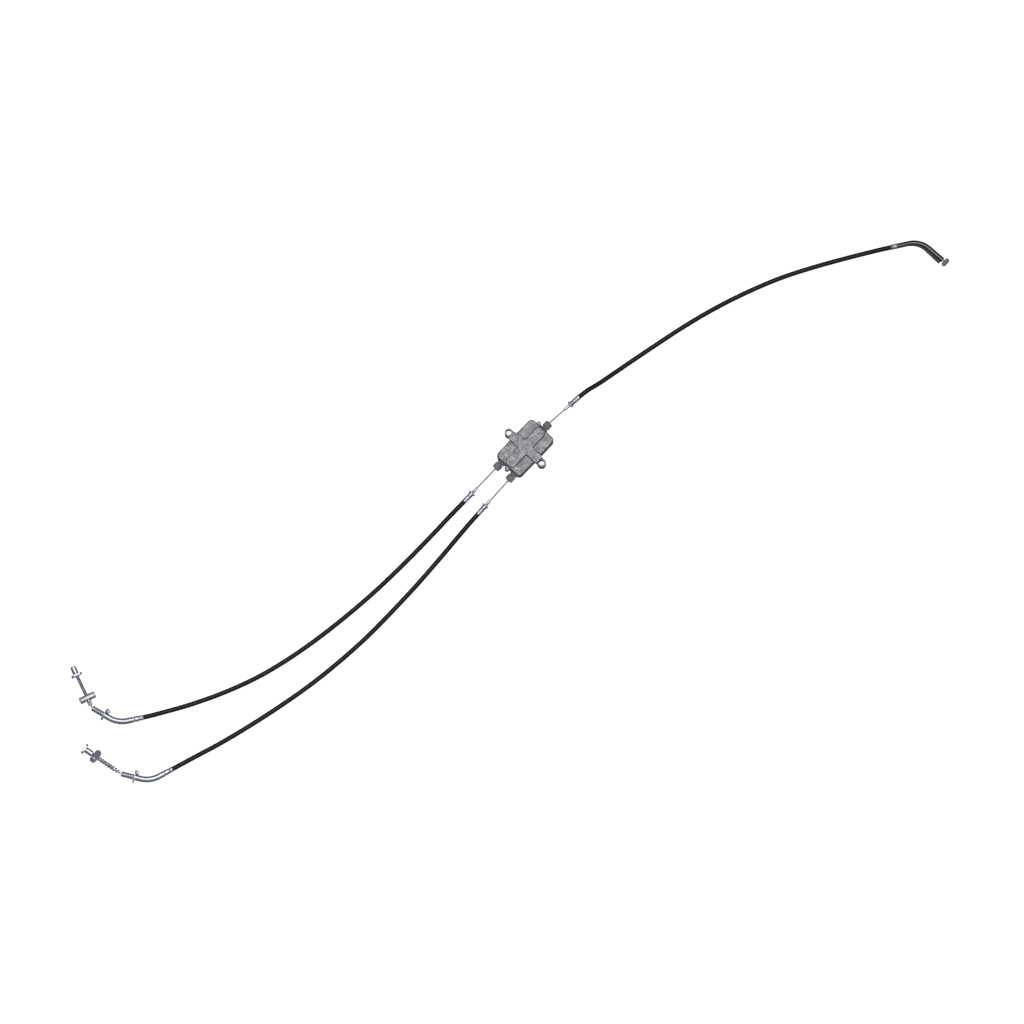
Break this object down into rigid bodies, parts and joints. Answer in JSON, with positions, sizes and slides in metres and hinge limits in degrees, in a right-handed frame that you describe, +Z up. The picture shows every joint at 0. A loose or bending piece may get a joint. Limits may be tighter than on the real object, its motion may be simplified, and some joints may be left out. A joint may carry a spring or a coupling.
{
  "type": "twin brake cable with equaliser box",
  "caption": "Front brake cable that splits: a lever cable pulls a balance beam in a cast box, which pulls two cables ending in rods with springs and adjuster nuts.",
  "frame": {"origin": "middle of the equaliser box's flat back, on the surface that the cable lies on", "axes": "+X along the box towards the lever cable, +Y across the box to the left cable's side, +Z up out of the box's cover"},
  "size_m": [1.2791, 0.4768, 0.0226],
  "materials": {
    "cast_aluminium": "rough sand-cast aluminium",
    "zinc_plate": "bright zinc plated steel",
    "steel": "plain steel wire and machined steel",
    "spring_steel": "bright spring wire",
    "grey_sleeve": "satin zinc plated tube",
    "nipple_alloy": "dull die-cast alloy",
    "boot_rubber": "matt dark grey rubber",
    "conduit_vinyl": "smooth black vinyl with a soft sheen",
    "gloss_black": "gloss black paint on steel pipe",
    "guard_black": "textured black plastic"
  },
  "bodies": {
    "housing": {"case_body": "cast_aluminium", "case_cover": "cast_aluminium", "input_rivet": "zinc_plate", "output_rivet": "zinc_plate", "lever_boot": "boot_rubber", "left_boot": "boot_rubber", "right_boot": "boot_rubber", "lever_box_ferrule": "zinc_plate", "left_box_ferrule": "zinc_plate", "right_box_ferrule": "zinc_plate", "lever_conduit": "conduit_vinyl", "left_conduit": "conduit_vinyl", "right_conduit": "conduit_vinyl", "lever_crimp": "zinc_plate", "lever_elbow": "gloss_black", "lever_elbow_guard": "guard_black", "left_crimp": "zinc_plate", "left_pipe": "zinc_plate", "left_stop_plate": "zinc_plate", "left_sleeve": "grey_sleeve", "left_spring": "spring_steel", "right_crimp": "zinc_plate", "right_pipe": "zinc_plate", "right_stop_plate": "zinc_plate", "right_sleeve": "grey_sleeve", "right_spring": "spring_steel"},
    "slider": {"equaliser_slider": "steel", "beam_pivot": "steel"},
    "beam": {"equaliser_beam": "steel"},
    "left_wire": {"left_wire": "steel", "left_wire_nipple": "zinc_plate"},
    "right_wire": {"right_wire": "steel", "right_wire_nipple": "zinc_plate"},
    "lever_wire": {"lever_wire": "steel", "lever_wire_crossbar": "zinc_plate"},
    "lever_nipple": {"lever_end_wire": "steel", "lever_nipple": "nipple_alloy"},
    "left_brake_wire": {"left_brake_wire": "steel"},
    "left_rod": {"left_rod": "zinc_plate", "left_wire_end": "steel"},
    "left_barrel": {"left_barrel": "zinc_plate"},
    "left_nut": {"left_nut": "zinc_plate"},
    "right_brake_wire": {"right_brake_wire": "steel"},
    "right_rod": {"right_rod": "zinc_plate", "right_wire_end": "steel"},
    "right_barrel": {"right_barrel": "zinc_plate"},
    "right_nut": {"right_nut": "zinc_plate"}
  },
  "joints": [
    {"name": "equaliser_slide", "type": "slide", "parent": "housing", "child": "slider", "axis": [1, 0, 0], "range_m": [0, 0.007]},
    {"name": "beam_tilt", "type": "hinge", "parent": "slider", "child": "beam", "pos_m": [0, -0.0008, 0.0095], "axis": [0, 0, 1], "range_deg": [-8, 8]},
    {"name": "left_wire_swivel", "type": "hinge", "parent": "beam", "child": "left_wire", "pos_m": [0, 0.0103, 0.0095], "axis": [0, 0, 1], "range_deg": [-8, 8]},
    {"name": "right_wire_swivel", "type": "hinge", "parent": "beam", "child": "right_wire", "pos_m": [0, -0.0119, 0.0095], "axis": [0, 0, 1], "range_deg": [-8, 8]},
    {"name": "lever_wire_slide", "type": "slide", "parent": "housing", "child": "lever_wire", "axis": [0.9962, -0.0872, 0], "range_m": [0, 0.007]},
    {"name": "lever_nipple_slide", "type": "slide", "parent": "housing", "child": "lever_nipple", "axis": [0.0297, -0.9996, 0], "range_m": [0, 0.007]},
    {"name": "left_brake_pull", "type": "slide", "parent": "housing", "child": "left_brake_wire", "axis": [0.2233, -0.9748, 0], "range_m": [0, 0.007]},
    {"name": "left_rod_swing", "type": "hinge", "parent": "left_brake_wire", "child": "left_rod", "pos_m": [-0.64792, 0.17935, 0.007], "axis": [0, 0, 1], "range_deg": [0, 22], "deforming": ["left_spring"]},
    {"name": "left_barrel_travel", "type": "slide", "parent": "left_rod", "child": "left_barrel", "axis": [0.36, 0.933, 0], "range_m": [0, 0.007]},
    {"name": "left_nut_spin", "type": "hinge", "parent": "left_rod", "child": "left_nut", "pos_m": [-0.62992, 0.22599, 0.007], "axis": [0.36, 0.933, 0], "continuous": true},
    {"name": "right_brake_pull", "type": "slide", "parent": "housing", "child": "right_brake_wire", "axis": [0.4869, -0.8713, -0.061], "range_m": [0, 0.007], "deforming": ["right_spring"]},
    {"name": "right_rod_swing", "type": "hinge", "parent": "right_brake_wire", "child": "right_rod", "pos_m": [-0.68566, 0.09058, 0.0093], "axis": [0.0298, -0.0533, 0.9981], "range_deg": [0, 12]},
    {"name": "right_barrel_travel", "type": "slide", "parent": "right_rod", "child": "right_barrel", "axis": [0.159, -0.9856, -0.0574], "range_m": [0, 0.0024]},
    {"name": "right_nut_spin", "type": "hinge", "parent": "right_barrel", "child": "right_nut", "pos_m": [-0.69362, 0.13986, 0.01217], "axis": [0.159, -0.9856, -0.0574], "range_deg": [0, 1080]}
  ],
  "couplings": [
    {"joint": "left_wire_swivel", "follows": "beam_tilt", "ratio": -1},
    {"joint": "right_wire_swivel", "follows": "beam_tilt", "ratio": -1},
    {"joint": "lever_wire_slide", "follows": "equaliser_slide", "ratio": 1},
    {"joint": "lever_nipple_slide", "follows": "equaliser_slide", "ratio": 1},
    {"joint": "left_brake_pull", "follows": "equaliser_slide", "ratio": 1},
    {"joint": "left_rod_swing", "follows": "equaliser_slide", "rad_per_m": 54.853},
    {"joint": "left_barrel_travel", "follows": "equaliser_slide", "ratio": 1},
    {"joint": "right_brake_pull", "follows": "equaliser_slide", "ratio": 1},
    {"joint": "right_rod_swing", "follows": "equaliser_slide", "rad_per_m": 29.92},
    {"joint": "right_nut_spin", "follows": "right_barrel_travel", "rad_per_m": 7853.9}
  ]
}
